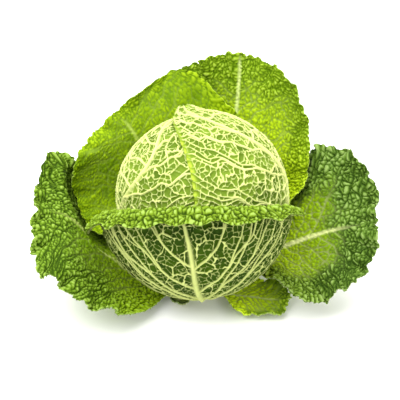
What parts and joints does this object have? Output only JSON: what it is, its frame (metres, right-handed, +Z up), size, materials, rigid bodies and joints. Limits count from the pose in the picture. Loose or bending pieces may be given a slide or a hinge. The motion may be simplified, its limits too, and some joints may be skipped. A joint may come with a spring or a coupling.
{
  "type": "savoy cabbage",
  "caption": "Savoy cabbage as picked: a net-veined round head in a curled wrapper leaf, standing on its cut stem in a rosette of crinkled outer leaves.",
  "frame": {"origin": "centre of the flat cut at the foot of the stem, on which the cabbage stands", "axes": "+Z up; +Y towards the two tall leaves behind the head; -Y towards the wrapper leaf, which is the front; +X to the right seen from the front, across the widest spread of the leaves"},
  "size_m": [0.3138, 0.2413, 0.1836],
  "materials": {
    "stem": "cut cabbage stalk, pale and slightly moist",
    "head_leaf": "waxy leaf, pale green with cream veins",
    "wrapper_leaf": "waxy leaf, mid green with cream veins",
    "lime_leaf": "waxy leaf, bright yellow-green",
    "green_leaf": "waxy leaf, deep green"
  },
  "bodies": {
    "root": {"stem": "stem", "head": "head_leaf", "head_leaf_right": "head_leaf", "wrapper_leaf_front": "wrapper_leaf", "outer_leaf_back_left": "lime_leaf", "outer_leaf_back_right": "green_leaf", "outer_leaf_left": "green_leaf", "outer_leaf_right": "green_leaf", "outer_leaf_front_right": "lime_leaf", "outer_leaf_front": "green_leaf"}
  },
  "joints": []
}
